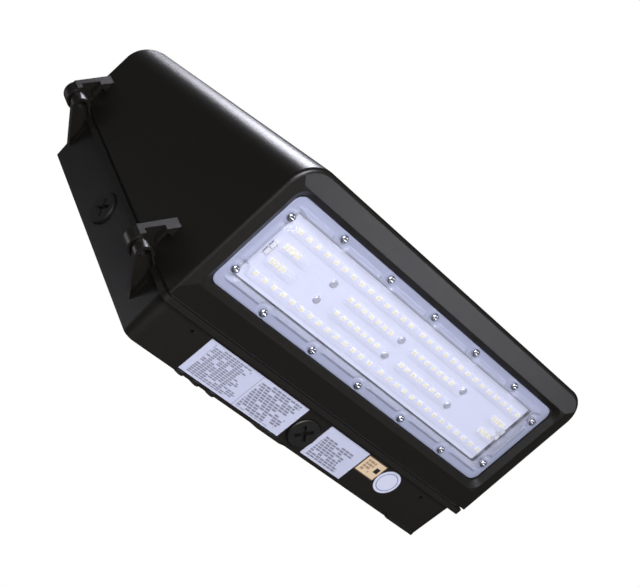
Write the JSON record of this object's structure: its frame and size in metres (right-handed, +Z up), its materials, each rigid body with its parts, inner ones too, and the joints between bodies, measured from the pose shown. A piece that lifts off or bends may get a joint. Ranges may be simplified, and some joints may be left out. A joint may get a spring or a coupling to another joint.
{
  "type": "full-cutoff LED wall pack light",
  "caption": "Wedge-shaped full-cutoff wall light: cast back box, side-hinged front housing, flat downward lens over LED rows.",
  "frame": {"origin": "on the rear face of the back box, where it meets the wall, in the middle of the housing's width and height", "axes": "+X to the right as one faces the wall, +Y into the wall, +Z up; the lens faces -Z"},
  "size_m": [0.3344, 0.1503, 0.237],
  "materials": {
    "bronze_paint": "satin powder coat",
    "lens_clear": "clear moulded",
    "steel": "zinc plated",
    "dark_screw": "black oxide",
    "board_white": "white solder mask",
    "led_yellow": "phosphor",
    "gasket_rubber": "matt",
    "silicone": "matt",
    "plug_plastic": "matt moulded",
    "aluminium_plate": "mill",
    "driver_case": "semi-gloss",
    "terminal_plastic": "matt",
    "ground_green": "gloss",
    "label_white": "satin",
    "label_beige": "satin"
  },
  "bodies": {
    "box": {"back_box": "bronze_paint", "hinge_pin_lower": "steel", "hinge_pin_upper": "steel", "door_gasket": "gasket_rubber", "conduit_plug_left": "plug_plastic", "conduit_plug_right": "plug_plastic", "conduit_plug_bottom": "plug_plastic", "conduit_plug_top": "plug_plastic", "plug_washers": "gasket_rubber", "wire_grommet": "gasket_rubber", "terminal_block": "terminal_plastic", "terminal_screws": "steel", "ground_screw": "ground_green", "label_large": "label_white", "label_medium": "label_white", "label_small": "label_beige", "label_round": "label_white"},
    "door": {"door_housing": "bronze_paint", "lens": "lens_clear", "lens_gasket": "silicone", "lens_screws": "dark_screw", "led_board": "board_white", "leds": "led_yellow", "board_screws": "steel", "driver_plate": "aluminium_plate", "driver": "driver_case", "surge_protector": "plug_plastic", "driver_screws": "steel"},
    "lower_screw": {"door_screw_lower": "dark_screw"},
    "upper_screw": {"door_screw_upper": "dark_screw"}
  },
  "joints": [
    {"name": "door_hinge", "type": "hinge", "parent": "box", "child": "door", "pos_m": [-0.1612, -0.038, 0], "axis": [0, 0, -1], "range_deg": [0, 110]},
    {"name": "lower_screw_travel", "type": "slide", "parent": "door", "child": "lower_screw", "axis": [0, 1, 0], "range_m": [0, 0.01]},
    {"name": "upper_screw_travel", "type": "slide", "parent": "door", "child": "upper_screw", "axis": [0, 1, 0], "range_m": [0, 0.01]}
  ]
}
